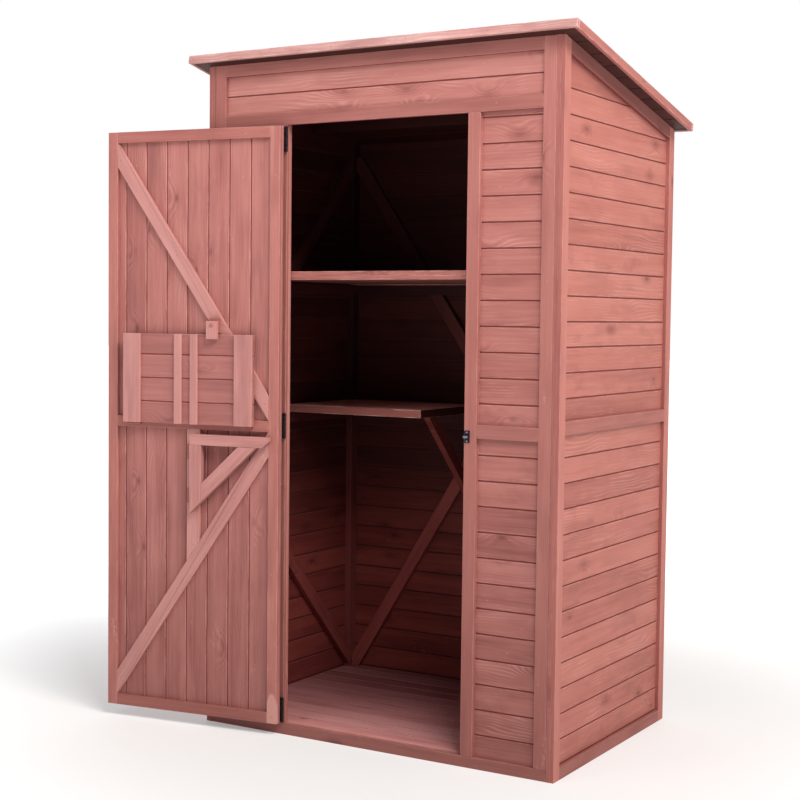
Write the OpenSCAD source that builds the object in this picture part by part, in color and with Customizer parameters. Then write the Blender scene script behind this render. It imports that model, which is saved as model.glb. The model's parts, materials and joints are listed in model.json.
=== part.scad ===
// Garden storage shed with a pent roof, an open door and a fold-down table
// on the inside of the door. Millimetres, +Z up, the doorway faces -Y, and
// the origin is under the middle of the floor.

/* [Shed] */
// Outside width of the walls
shed_w = 1175; // [1100:5:1400]
// Outside depth of the walls
shed_d = 805; // [760:5:1100]
// Height of the front wall under the roof
front_h = 1997; // [1960:1:2150]
// Slope of the roof, in degrees
roof_pitch = 11.5; // [5:0.5:14]

/* [Walls] */
// Width of the outside strips that frame each panel
strip_w = 38; // [30:1:44]
// Thickness of the outside strips
strip_t = 12; // [9:0.5:16]
// Thickness of the wall boards
board_t = 12; // [9:0.5:16]
// Height of the strip along the foot of the front wall
sill_h = 32; // [28:1:36]
// Height of the strips along the feet of the side and back walls
foot_h = 35; // [28:1:45]
// Underside of the middle strips on the front wall
front_mid_z = 919; // [850:1:1000]
// Underside of the middle strips on the side and back walls
side_mid_z = 937; // [850:1:1000]

/* [Inner framing] */
// Thickness of the framing on the inside of the walls
inner_t = 22; // [18:1:26]
// Width of the inner uprights and rails
inner_w = 38; // [32:1:44]
// Width of the diagonal wall braces
wall_brace_w = 41; // [32:1:46]
// Head of the lower side braces below the underside of the lower shelf
low_side_brace_drop = 144; // [60:1:200]
// Head of the lower back braces below the underside of the lower shelf
low_back_brace_drop = 20; // [0:1:60]
// Foot of the upper side braces above the underside of the lower shelf
side_brace_foot = 113; // [60:1:160]
// Foot of the upper back braces above the underside of the lower shelf
back_brace_foot = 90; // [60:1:160]
// Head of the upper side braces below the top of the back framing
side_brace_drop = 37; // [20:1:80]
// Head of the upper back braces below the top of the back framing
back_brace_drop = 10; // [0:1:60]

/* [Floor] */
// Width of each bearer under the floor
bearer_w = 45; // [35:1:70]
// Distance of the outer bearers' middles from the side walls
bearer_inset = 82.5; // [40:0.5:140]
// Thickness of the floor boards
floor_t = 12; // [10:0.5:14]

/* [Doorway] */
// Width of the doorway
doorway_w = 600; // [580:5:640]
// Height of the front wall above the doorway
header_h = 189; // [170:1:220]
// Space between two strips above the doorway
header_gap = 115; // [100:1:118]

/* [Roof] */
// Overhang of the roof in front
eave_front = 41; // [30:1:80]
// Overhang of the roof behind
eave_back = 23; // [16:1:60]
// Overhang of the roof at each side
eave_side = 50; // [30:1:80]
// Depth of the fascia strips round the roof
fascia_h = 24; // [22:0.5:40]
// Thickness of the fascia strips
fascia_t = 12; // [9:0.5:15]
// Thickness of the roof boards
roof_board_t = 18; // [12:0.5:18.5]
// Thickness of the roofing felt
felt_t = 2.5; // [1.5:0.5:3.5]
// Depth of the two purlins under the roof boards
purlin_h = 38; // [30:1:44]
// Thickness of the purlins
purlin_t = 24; // [20:1:30]

/* [Shelves] */
// Thickness of the shelves
shelf_t = 25; // [18:1:30]
// Top of the upper shelf
top_shelf_z = 1381; // [1330:1:1420]
// Top of the lower shelf
low_shelf_z = 962; // [940:1:975]
// Length of the lower shelf from the left wall
low_shelf_w = 500; // [440:1:560]
// Space between the lower shelf's end and the middle upright
shelf_stile_gap = 44.5; // [20:0.5:60]
// Depth of the lower shelf from the back wall
low_shelf_d = 391; // [330:1:410]
// Depth of the cleats that carry the shelves
cleat_h = 32; // [26:1:40]
// Thickness of the slanted strut under the lower shelf
strut_t = 22; // [18:1:26]
// Width of the slanted strut
strut_w = 38; // [30:1:44]
// How far the foot of the strut is below the shelf
strut_drop = 300; // [240:5:320]
// Overhang of the shelf past the strut
strut_inset = 6; // [0:1:20]

/* [Door] */
// Gap round the door
door_gap = 5; // [5:0.5:8]
// How far the hinge pins stand over the post, past the middle of the gap
pin_over_post = 2.5; // [0:0.5:2.5]
// Width of the strips that frame the door
door_strip_w = 33; // [30:1:40]
// Angle at which the door stands open
door_open = 172; // [150:1:176]
// Underside of the middle strip of the door
door_mid_z = 906; // [880:1:930]
// Width of the door's diagonal braces
door_brace_w = 42; // [34:1:46]
// Distance of the diagonals' middle lines from the corners where they end
brace_rise = 36; // [28:1:44]
// Width of the upright strip that the table bracket hangs on
door_upright_w = 44; // [40:1:50]

/* [Hinges] */
// Height of each door hinge
hinge_h = 72; // [60:1:90]
// Radius of the door hinge knuckles
hinge_r = 4.5; // [4:0.25:5.5]
// Radius of the door hinge pins
hinge_pin_r = 2; // [1.5:0.25:2.5]
// Width of the door hinge leaves
hinge_leaf_w = 30; // [24:1:36]
// Thickness of the door hinge leaves
hinge_leaf_t = 2; // [1.5:0.25:2.5]
// Space between the knuckles and the front of the shed
knuckle_stand = 0.5; // [0:0.25:1.5]
// Length of each small hinge
small_hinge_h = 46; // [40:1:60]
// Radius of the small hinge knuckles
small_hinge_r = 3; // [2.5:0.25:3.5]
// Radius of the small hinge pins
small_pin_r = 1.25; // [1:0.25:1.5]
// Width of the small hinge leaves
small_leaf_w = 18; // [15:1:20]
// Thickness of the small hinge leaves
small_leaf_t = 1.2; // [1:0.1:1.4]

/* [Table] */
// Width of the fold-down table
table_w = 444; // [400:2:480]
// Length of the table from hinge to front edge
table_l = 271; // [240:1:275]
// Sideways offset of the table from the middle of the door
table_offset = 5; // [-9:1:14]
// Thickness of the table boards
table_board_t = 9; // [8:0.5:10]
// Thickness of the battens under the table
table_batten_t = 9; // [8:0.5:10]
// Width of the two end battens
end_batten_w = 60; // [50:1:66]
// Width of the two middle battens
mid_batten_w = 25; // [20:1:28]
// Gap between the door and the folded table
fold_gap = 5; // [5:0.5:6]
// Height of the table's hinge line above the middle strip's underside
table_axis_rise = 11; // [8:0.5:16]

/* [Bracket] */
// Thickness of the table bracket
bracket_t = 20; // [16:1:22]
// Reach of the bracket arm
bracket_l = 265; // [230:1:270]
// Height of the bracket
bracket_h = 240; // [220:1:260]
// Depth of the bracket arm
arm_h = 32; // [28:1:36]
// Width of the bracket upright and diagonal
bracket_w = 40; // [34:1:42]
// Size of the cut corner at the tip of the arm
tip_cut = 18; // [8:1:20]
// Length of the arm past the foot of the diagonal
arm_overrun = 24; // [10:1:40]
// Sideways place of the bracket's hinge line on the door
bracket_axis_x = -4; // [-15:1:10]
// Height of the lower bracket hinge above the foot of the bracket
bracket_hinge_rise = 30; // [20:1:50]

/* [Turn button] */
// Width of the turn button
button_w = 36; // [30:1:40]
// Height of the turn button
button_h = 54; // [50:1:60]
// Thickness of the turn button
button_t = 12; // [10:0.5:14]
// How far the button reaches over the edge of the table
button_lap = 14; // [10:1:16]
// Screw position below the top of the button
button_screw_drop = 13; // [10:1:16]
// Sideways place of the button on the door
button_x = -85; // [-94:1:-76]
// Radius of the button screw
screw_r = 3; // [2.5:0.25:3.5]
// Height of the head of the button screw
screw_head_h = 2; // [1:0.25:3]

/* [Fastening] */
// Width of the staple plate on the right jamb
keeper_w = 16; // [14:1:22]
// Height of the staple plate
keeper_h = 34; // [30:1:44]
// Thickness of the staple plate and the hasp
keeper_t = 2; // [1.5:0.25:2.5]
// How far the staple stands out
staple_l = 16; // [14:1:20]
// Thickness of the staple
staple_t = 6; // [5:0.5:7]
// Length of the hasp strap
hasp_l = 84; // [70:1:100]
// Width of the hasp's plate
hasp_plate_w = 34; // [26:1:44]
// Width of the hasp strap
hasp_w = 24; // [18:1:30]
// Radius of the hasp's knuckle
hasp_r = 2.5; // [2:0.25:3.5]
// Length of the slot near the end of the strap
hasp_slot_l = 22; // [18:1:30]
// Distance of the slot from the end of the strap
hasp_slot_inset = 12; // [8:1:20]

/* [Hidden] */
$fn = 48;

// Stain and metal colours
stain = [0.74, 0.45, 0.42];
stain_light = [0.80, 0.50, 0.46];
stain_dark = [0.55, 0.30, 0.29];
iron = [0.10, 0.10, 0.12];
felt = [0.22, 0.24, 0.23];

// Clearance between two pieces that turn past each other
run_gap = 5;
// Side play of a knuckle and the play of a pin in its bore
knuckle_gap = 0.4;
pin_play = 0.05;

wall_t = strip_t + board_t;
half_w = shed_w / 2;
half_d = shed_d / 2;
in_x = half_w - wall_t;        // inside face of the side boards
in_y = half_d - wall_t;        // inside face of the front and back boards
frame_x = in_x - inner_t;      // inside face of the side framing
frame_y = in_y - inner_t;      // inside face of the back framing
floor_z = sill_h;
bearer_h = floor_z - floor_t;
bearer_side_x = in_x - bearer_inset;
doorway_x = doorway_w / 2;
doorway_top = front_h - header_h;
lintel_top = doorway_top + strip_w;
header_top = lintel_top + header_gap;
mid_stile_x = low_shelf_w - in_x + shelf_stile_gap + inner_w / 2;
far = 3000;
over = 1;

// Roof lengths along the slope
slope_front = eave_front / cos(roof_pitch);
slope_back = (shed_d + eave_back) / cos(roof_pitch);
roof_half_w = half_w + eave_side;
slope_l = slope_front + slope_back;
purlin_places = [1 / 3, 2 / 3];

// Height of the roof's underside at a depth y
function roof_z(y) = front_h - (y + half_d) * tan(roof_pitch);

// Door, in its closed place
pin_x = -doorway_x + door_gap / 2 - pin_over_post;
pin_y = -half_d - hinge_r - knuckle_stand;
door_x = doorway_x - door_gap;
door_z0 = sill_h + door_gap;
door_z1 = doorway_top - door_gap;
door_in = -half_d + wall_t;
door_face = -half_d + board_t;
door_field_x = door_x - door_strip_w;
door_mid_top = door_mid_z + door_strip_w;
// Ends of the lower diagonal's middle line, at the free edge and at the hinges
brace_foot = [door_field_x, door_z0 + door_strip_w + brace_rise];
brace_head = [-door_field_x, door_mid_z - brace_rise];
hinge_places = [door_z0 + 1, door_mid_z + strip_w / 2 - hinge_h / 2, door_z1 - hinge_h - 1];

// Table, folded up against the door
table_axis_y = door_in + small_hinge_r;
table_axis_z = door_mid_z + table_axis_rise;
edge_gap = small_hinge_r + 1;
table_back = door_in + fold_gap;
table_t = table_board_t + table_batten_t;
table_x0 = table_offset - table_w / 2;
table_x1 = table_offset + table_w / 2;
table_z0 = table_axis_z + edge_gap;
table_z1 = table_z0 + table_l;
table_under = table_axis_z - (fold_gap - small_hinge_r) - table_t;

// Bracket, folded flat under the table
bracket_x = bracket_axis_x - edge_gap;
bracket_top = table_under - run_gap;
bracket_z0 = bracket_top - bracket_h;
slot_x = bracket_axis_x + fold_gap - small_hinge_r + bracket_t / 2;
slot_w = bracket_t + 2 * run_gap;
upright_x = bracket_axis_x - small_hinge_r;

// Turn button in front of the table's top edge
button_back = table_back + table_board_t + run_gap;
button_z0 = table_z1 - button_lap;
button_z1 = button_z0 + button_h;
screw_z = button_z1 - button_screw_drop;
block_h = screw_z - table_z1 - run_gap;

latch_z = door_mid_z + strip_w / 2 - keeper_t;

module block(from, to) {
    translate(from)
        cube(to - from);
}

// The same piece on both sides of the shed
module both_sides() {
    children();
    mirror([1, 0, 0])
        children();
}

// Lays out in the roof's own plane: x across, y down the slope, z square to it
module in_roof_plane() {
    translate([0, -half_d, front_h])
        rotate([-roof_pitch, 0, 0])
            children();
}

// Trims a piece to the underside of the roof boards
module under_roof() {
    difference() {
        children();
        in_roof_plane()
            translate([-far, -far, 0])
                cube([2 * far, 2 * far, far]);
    }
}

// Stands a flat shape drawn in x and z upright, from depth y over thickness t
module upright_plate(y, t) {
    translate([0, y + t, 0])
        rotate([90, 0, 0])
            linear_extrude(t)
                children();
}

// Stands a flat shape drawn in y and z upright, from x over thickness t
module side_plate(x, t) {
    translate([x, 0, 0])
        rotate([90, 0, 90])
            linear_extrude(t)
                children();
}

// Flat band of width w about the line from a to b, run on past both ends
module band(a, b, w) {
    run = b - a;
    len = norm(run);
    translate(a)
        rotate(atan2(run[1], run[0]))
            translate([-w, -w / 2])
                square([len + 2 * w, w]);
}

// Band that ends square against the sides of a rectangle from lo to hi
module brace(a, b, w, lo, hi) {
    intersection() {
        band(a, b, w);
        translate(lo)
            square(hi - lo);
    }
}

// One half of a butt hinge along z, the leaf towards +x on the side towards +y.
// The odd half has the outer knuckles and the pin, the even half the bored ones.
module hinge_half(h, r, pin_r, leaf_w, leaf_t, leaf_y, odd) {
    knuckle_h = h / 3;
    reach = r + knuckle_gap;
    difference() {
        union() {
            translate([reach, leaf_y, 0])
                cube([leaf_w - reach, leaf_t, h]);
            for (i = odd ? [0, 2] : [1]) {
                low = i * knuckle_h + (i == 0 ? 0 : knuckle_gap / 2);
                high = (i + 1) * knuckle_h - (i == 2 ? 0 : knuckle_gap / 2);
                translate([0, 0, low])
                    cylinder(r = r, h = high - low);
                translate([knuckle_gap, leaf_y, low])
                    cube([reach, leaf_t, high - low]);
            }
        }
        if (!odd)
            translate([0, 0, -over])
                cylinder(r = pin_r + pin_play, h = h + 2 * over);
    }
    if (odd)
        cylinder(r = pin_r, h = h);
}

// Turns the closed door and all it carries to where it stands open
module door_pose() {
    translate([pin_x, pin_y, 0])
        rotate([0, 0, -door_open])
            translate([-pin_x, -pin_y, 0])
                children();
}

module floor_bearers() {
    color(stain_dark)
        for (x = [-bearer_side_x, 0, bearer_side_x])
            block([x - bearer_w / 2, -in_y, 0], [x + bearer_w / 2, in_y, bearer_h]);
}

module floor_deck() {
    color(stain)
        block([-in_x, -in_y, bearer_h], [in_x, in_y, floor_z]);
}

module threshold() {
    color(stain)
        block([-doorway_x, -in_y - board_t, 0], [doorway_x, -in_y, sill_h]);
}

// Corner strips and door jambs
module front_stiles() {
    color(stain_light)
        both_sides() {
            under_roof()
                block([in_x - strip_w, -half_d, sill_h], [in_x, -half_d + strip_t, front_h]);
            block([doorway_x, -half_d, sill_h], [doorway_x + strip_w, -half_d + strip_t, doorway_top]);
        }
}

module front_rails() {
    stile_in = in_x - strip_w;
    color(stain_light) {
        block([-in_x, -half_d, 0], [in_x, -half_d + strip_t, sill_h]);
        both_sides()
            block([doorway_x + strip_w, -half_d, front_mid_z],
                [stile_in, -half_d + strip_t, front_mid_z + strip_w]);
        block([-stile_in, -half_d, doorway_top], [stile_in, -half_d + strip_t, lintel_top]);
        under_roof()
            block([-stile_in, -half_d, header_top], [stile_in, -half_d + strip_t, front_h]);
    }
}

module front_side_boards() {
    color(stain)
        under_roof()
            block([doorway_x, -in_y - board_t, 0], [in_x, -in_y, front_h]);
}

module front_left_boards() {
    mirror([1, 0, 0])
        front_side_boards();
}

module front_right_boards() {
    front_side_boards();
}

module header_boards() {
    color(stain)
        under_roof()
            block([-doorway_x, -in_y - board_t, doorway_top], [doorway_x, -in_y, front_h]);
}

module side_stiles() {
    color(stain_light)
        under_roof()
            for (y = [-half_d, half_d - strip_w])
                block([half_w - strip_t, y, 0], [half_w, y + strip_w, front_h]);
}

module side_rails() {
    y0 = -half_d + strip_w;
    color(stain_light) {
        for (z = [[0, foot_h], [side_mid_z, side_mid_z + strip_w]])
            block([half_w - strip_t, y0, z[0]], [half_w, -y0, z[1]]);
        side_plate(half_w - strip_t, strip_t)
            polygon([[y0, roof_z(y0) - strip_w], [-y0, roof_z(-y0) - strip_w],
                [-y0, roof_z(-y0)], [y0, roof_z(y0)]]);
    }
}

module side_boards() {
    color(stain)
        under_roof()
            block([in_x, -half_d, 0], [in_x + board_t, half_d, front_h]);
}

module left_wall_stiles() {
    mirror([1, 0, 0])
        side_stiles();
}

module left_wall_rails() {
    mirror([1, 0, 0])
        side_rails();
}

module left_wall_boards() {
    mirror([1, 0, 0])
        side_boards();
}

module right_wall_stiles() {
    side_stiles();
}

module right_wall_rails() {
    side_rails();
}

module right_wall_boards() {
    side_boards();
}

module back_wall_stiles() {
    color(stain_light)
        both_sides()
            under_roof()
                block([in_x - strip_w, half_d - strip_t, foot_h], [in_x, half_d, front_h]);
}

module back_wall_rails() {
    stile_in = in_x - strip_w;
    color(stain_light) {
        block([-in_x, half_d - strip_t, 0], [in_x, half_d, foot_h]);
        block([-stile_in, half_d - strip_t, side_mid_z], [stile_in, half_d, side_mid_z + strip_w]);
        under_roof()
            block([-stile_in, half_d - strip_t, roof_z(half_d) - strip_w], [stile_in, half_d, front_h]);
    }
}

module back_wall_boards() {
    color(stain)
        under_roof()
            block([-in_x, in_y, 0], [in_x, in_y + board_t, front_h]);
}

// Uprights inside the corners and in the middle of the back wall
module inner_stiles() {
    color(stain_dark)
        under_roof() {
            both_sides()
                for (y = [-in_y, in_y - inner_w])
                    block([frame_x, y, floor_z], [in_x, y + inner_w, front_h]);
            block([mid_stile_x - inner_w / 2, frame_y, floor_z],
                [mid_stile_x + inner_w / 2, in_y, front_h]);
        }
}

// The children once on each side of the back wall's middle upright, both drawn
// on the right, from $near_x at the upright to the corner
module back_bays() {
    for (side = [-1, 1])
        mirror([side < 0 ? 1 : 0, 0, 0]) {
            $near_x = side * mid_stile_x + inner_w / 2;
            children();
        }
}

// Rail across the back wall that carries the lower shelf
module back_inner_rail() {
    color(stain_dark)
        back_bays()
            block([$near_x, frame_y, low_shelf_z - shelf_t - inner_w],
                [frame_x, in_y, low_shelf_z - shelf_t]);
}

// Diagonals inside the side and back walls
module wall_braces() {
    side_y = in_y - inner_w;
    rail_z = low_shelf_z - shelf_t;
    back_top = roof_z(in_y) - wall_brace_w;
    color(stain_dark) {
        both_sides()
            side_plate(frame_x, inner_t) {
                brace([-side_y, rail_z - low_side_brace_drop], [side_y, floor_z + wall_brace_w],
                    wall_brace_w, [-side_y, floor_z], [side_y, rail_z - cleat_h]);
                brace([-side_y, rail_z + side_brace_foot], [side_y, back_top - side_brace_drop],
                    wall_brace_w, [-side_y, rail_z], [side_y, back_top]);
            }
        back_bays()
            upright_plate(frame_y, inner_t) {
                brace([frame_x, floor_z], [$near_x - inner_w / 2, rail_z - low_back_brace_drop],
                    wall_brace_w, [$near_x, floor_z], [frame_x, rail_z - inner_w]);
                brace([frame_x, back_top - back_brace_drop], [$near_x, rail_z + back_brace_foot],
                    wall_brace_w, [$near_x, rail_z], [frame_x, back_top]);
            }
    }
}

module roof_deck() {
    color(stain_dark)
        in_roof_plane()
            block([-roof_half_w + fascia_t, -slope_front + fascia_t, 0],
                [roof_half_w - fascia_t, slope_back - fascia_t, roof_board_t]);
}

module roof_felt() {
    color(felt)
        in_roof_plane()
            block([-roof_half_w + fascia_t, -slope_front + fascia_t, roof_board_t],
                [roof_half_w - fascia_t, slope_back - fascia_t, roof_board_t + felt_t]);
}

// Strips along the front and back edges of the roof
module roof_fascias() {
    color(stain_light)
        in_roof_plane()
            for (y = [-slope_front, slope_back - fascia_t])
                block([-roof_half_w, y, 0], [roof_half_w, y + fascia_t, fascia_h]);
}

// Strips along the two sloping edges of the roof
module roof_bargeboards() {
    color(stain_light)
        in_roof_plane()
            both_sides()
                block([roof_half_w - fascia_t, -slope_front + fascia_t, 0],
                    [roof_half_w, slope_back - fascia_t, fascia_h]);
}

// Two purlins between the side walls
module roof_purlins() {
    color(stain_dark)
        in_roof_plane()
            for (place = purlin_places) {
                y = shed_d / cos(roof_pitch) * place - purlin_t / 2;
                block([-in_x, y, -purlin_h], [in_x, y + purlin_t, 0]);
            }
}

module top_shelf() {
    color(stain_light)
        block([-frame_x, door_in + run_gap, top_shelf_z - shelf_t], [frame_x, frame_y, top_shelf_z]);
}

// Shelf in the back left corner, notched round the corner upright
module lower_shelf() {
    color(stain_light)
        difference() {
            block([-in_x, in_y - low_shelf_d, low_shelf_z - shelf_t],
                [-in_x + low_shelf_w, in_y, low_shelf_z]);
            block([-in_x - over, in_y - inner_w, low_shelf_z - shelf_t - over],
                [-frame_x, in_y + over, low_shelf_z + over]);
        }
}

// Cleats on the side walls: two under the upper shelf, one under the lower
module side_cleats() {
    top_z = top_shelf_z - shelf_t;
    low_z = low_shelf_z - shelf_t;
    color(stain_dark) {
        both_sides()
            block([frame_x - inner_t, -in_y + inner_w / 2, top_z - cleat_h],
                [frame_x, frame_y, top_z]);
        block([-in_x, in_y - low_shelf_d, low_z - cleat_h], [-frame_x, in_y - inner_w, low_z]);
    }
}

// Cleat under the back edge of the upper shelf
module back_cleat() {
    top_z = top_shelf_z - shelf_t;
    color(stain_dark)
        block([-frame_x + inner_t, frame_y - inner_t, top_z - cleat_h],
            [frame_x - inner_t, frame_y, top_z]);
}

// Slanted strut from the free end of the lower shelf down to the back wall
module shelf_strut() {
    low_z = low_shelf_z - shelf_t;
    end_x = -in_x + low_shelf_w;
    color(stain)
        side_plate(end_x - strut_inset - strut_t, strut_t)
            brace([in_y - strut_drop, low_z], [in_y, low_z - strut_drop], strut_w,
                [in_y - low_shelf_d, 0], [in_y, low_z]);
}

// Door hinges: the jamb half with the pin, and the door half
module door_hinge(odd) {
    for (z = hinge_places)
        translate([pin_x, pin_y, z])
            mirror([odd ? 1 : 0, 0, 0])
                hinge_half(hinge_h, hinge_r, hinge_pin_r, hinge_leaf_w, hinge_leaf_t,
                    -half_d - hinge_leaf_t - pin_y, odd);
}

module jamb_hinge_leaves() {
    color(iron)
        door_hinge(true);
}

// Staple plate on the right jamb, with a level loop
module latch_keeper() {
    plate_x = doorway_x + 2;
    loop_r = keeper_w / 2;
    wire = keeper_w / 4;
    color(iron) {
        block([plate_x, -half_d - keeper_t, latch_z - keeper_h / 2],
            [plate_x + keeper_w, -half_d, latch_z + keeper_h / 2]);
        translate([plate_x + loop_r, -half_d - keeper_t, latch_z - staple_t / 2])
            linear_extrude(staple_t)
                difference() {
                    union() {
                        translate([-loop_r, loop_r - staple_l])
                            square([keeper_w, staple_l - loop_r]);
                        translate([0, loop_r - staple_l])
                            circle(r = loop_r);
                    }
                    translate([wire - loop_r, loop_r - staple_l])
                        square([keeper_w - 2 * wire, staple_l]);
                    translate([0, loop_r - staple_l])
                        circle(r = loop_r - wire);
                }
    }
}

module door_boards() {
    color(stain)
        door_pose()
            block([-door_x, -half_d, door_z0], [door_x, door_face, door_z1]);
}

module door_stiles() {
    color(stain_light)
        door_pose()
            both_sides()
                block([door_field_x, door_face, door_z0], [door_x, door_in, door_z1]);
}

module door_rails() {
    color(stain_light)
        door_pose()
            for (z = [door_z0, door_mid_z, door_z1 - door_strip_w])
                block([-door_field_x, door_face, z], [door_field_x, door_in, z + door_strip_w]);
}

module door_braces() {
    color(stain_light)
        door_pose()
            upright_plate(door_face, door_in - door_face) {
                brace(brace_foot, brace_head, door_brace_w,
                    [-door_field_x, door_z0 + door_strip_w], [door_field_x, door_mid_z]);
                brace([-door_field_x, door_mid_top + brace_rise],
                    [door_field_x, door_z1 - door_strip_w - brace_rise],
                    door_brace_w, [-door_field_x, door_mid_top],
                    [door_field_x, door_z1 - door_strip_w]);
            }
}

// Short upright between the middle strip and the lower diagonal
module door_upright() {
    run = brace_head - brace_foot;
    color(stain_light)
        door_pose()
            upright_plate(door_face, door_in - door_face)
                difference() {
                    translate([upright_x - door_upright_w / 2, door_z0 + door_strip_w])
                        square([door_upright_w, door_mid_z - door_z0 - door_strip_w]);
                    translate(brace_foot)
                        rotate(atan2(run[1], run[0]))
                            translate([-far / 2, -door_brace_w / 2])
                                square([far, far]);
                }
}

module door_hinge_leaves() {
    color(iron)
        door_pose()
            door_hinge(false);
}

// Hasp on the outside of the door, its strap folded back
module door_hasp() {
    plate_x = door_x - hinge_leaf_t;
    knuckle_x = plate_x - hasp_plate_w - hasp_r;
    strap_x = knuckle_x - hasp_r;
    slot_h = staple_t + keeper_t;
    color(iron)
        door_pose() {
            block([plate_x - hasp_plate_w, -half_d - keeper_t, latch_z - keeper_h / 2],
                [plate_x, -half_d, latch_z + keeper_h / 2]);
            translate([knuckle_x, -half_d - hasp_r, latch_z - keeper_h / 2])
                cylinder(r = hasp_r, h = keeper_h);
            difference() {
                block([strap_x - hasp_l, -half_d - keeper_t, latch_z - hasp_w / 2],
                    [strap_x, -half_d, latch_z + hasp_w / 2]);
                translate([strap_x - hasp_l + hasp_slot_inset, -half_d - keeper_t - over, latch_z - slot_h / 2])
                    cube([hasp_slot_l, keeper_t + 2 * over, slot_h]);
            }
        }
}

// Hinges under the bottom edge of the table, lying along x
module table_hinge(odd) {
    inset = end_batten_w / 2;
    for (x = [table_x0 + inset, table_x1 - inset])
        translate([x - small_hinge_h / 2, table_axis_y, table_axis_z])
            rotate([0, 90, 0])
                mirror([1, 0, 0])
                    hinge_half(small_hinge_h, small_hinge_r, small_pin_r, small_leaf_w, small_leaf_t,
                        odd ? -small_hinge_r : fold_gap - small_hinge_r - small_leaf_t, odd);
}

module table_hinge_plates() {
    color(iron)
        door_pose()
            table_hinge(true);
}

// Hinges along the upright edge of the bracket
module bracket_hinge(odd) {
    for (z = [bracket_z0 + bracket_hinge_rise, bracket_top - arm_h - small_hinge_h])
        translate([bracket_axis_x, table_axis_y, z])
            mirror([odd ? 0 : 1, 0, 0])
                hinge_half(small_hinge_h, small_hinge_r, small_pin_r, small_leaf_w, small_leaf_t,
                    odd ? -small_hinge_r : fold_gap - small_hinge_r - small_leaf_t, odd);
}

module bracket_hinge_plates() {
    color(iron)
        door_pose()
            bracket_hinge(true);
}

// Packing block with the screw that the turn button hangs on
module button_block() {
    half_block = button_w / 2 - screw_r;
    color(stain)
        door_pose() {
            block([button_x - half_block, door_in, screw_z - block_h],
                [button_x + half_block, button_back - knuckle_gap, screw_z + block_h]);
            translate([button_x, button_back - over, screw_z])
                rotate([-90, 0, 0])
                    cylinder(r = screw_r, h = button_t + over + knuckle_gap);
            translate([button_x, button_back + button_t + knuckle_gap, screw_z])
                rotate([-90, 0, 0])
                    cylinder(r1 = 2 * screw_r, r2 = 1.4 * screw_r, h = screw_head_h);
        }
}

module table_boards() {
    color(stain)
        door_pose()
            block([table_x0, table_back, table_z0], [table_x1, table_back + table_board_t, table_z1]);
}

// End battens, and two middle ones that straddle the bracket arm
module table_battens() {
    color(stain_light)
        door_pose()
            for (x = [[table_x0, end_batten_w], [table_x1 - end_batten_w, end_batten_w],
                [slot_x - slot_w / 2 - mid_batten_w, mid_batten_w], [slot_x + slot_w / 2, mid_batten_w]])
                block([x[0], table_back + table_board_t, table_z0],
                    [x[0] + x[1], table_back + table_t, table_z1]);
}

module table_hinge_leaves() {
    color(iron)
        door_pose()
            table_hinge(false);
}

// Triangular bracket: arm on top, upright at the hinges, diagonal between.
// The outer edge of the diagonal runs on across the foot of the upright.
module table_bracket() {
    tip_x = bracket_x - bracket_l;
    arm_z = bracket_top - arm_h;
    slant_x = tip_x + tip_cut + arm_overrun;
    run = bracket_x - slant_x;
    drop = arm_z - bracket_z0;
    inset = bracket_w * norm([run, drop]);
    inner_x = bracket_x - bracket_w;
    color(stain_light)
        door_pose()
            upright_plate(table_back, bracket_t)
                difference() {
                    polygon([[tip_x, bracket_top], [bracket_x, bracket_top], [bracket_x, bracket_z0],
                        [slant_x, arm_z], [tip_x + tip_cut, arm_z], [tip_x, arm_z + tip_cut]]);
                    polygon([[inner_x, arm_z], [slant_x + inset / drop, arm_z],
                        [inner_x, arm_z + (inset - (inner_x - slant_x) * drop) / run]]);
                }
}

module bracket_hinge_leaves() {
    color(iron)
        door_pose()
            bracket_hinge(false);
}

// Wooden button, bored for its screw
module turn_button() {
    color(stain_light)
        door_pose()
            difference() {
                block([button_x - button_w / 2, button_back, button_z0],
                    [button_x + button_w / 2, button_back + button_t, button_z1]);
                translate([button_x, button_back - over, screw_z])
                    rotate([-90, 0, 0])
                        cylinder(r = screw_r + pin_play, h = button_t + 2 * over);
            }
}

floor_bearers();
floor_deck();
threshold();
front_stiles();
front_rails();
front_left_boards();
front_right_boards();
header_boards();
left_wall_stiles();
left_wall_rails();
left_wall_boards();
right_wall_stiles();
right_wall_rails();
right_wall_boards();
back_wall_stiles();
back_wall_rails();
back_wall_boards();
inner_stiles();
wall_braces();
back_inner_rail();
roof_deck();
roof_felt();
roof_fascias();
roof_bargeboards();
roof_purlins();
top_shelf();
lower_shelf();
side_cleats();
back_cleat();
shelf_strut();
jamb_hinge_leaves();
latch_keeper();
door_boards();
door_stiles();
door_rails();
door_braces();
door_upright();
door_hinge_leaves();
door_hasp();
table_hinge_plates();
bracket_hinge_plates();
button_block();
table_boards();
table_battens();
table_hinge_leaves();
table_bracket();
bracket_hinge_leaves();
turn_button();
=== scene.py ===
import json
import math
import random

import bmesh
import bpy
from mathutils import Matrix, Vector


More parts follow.
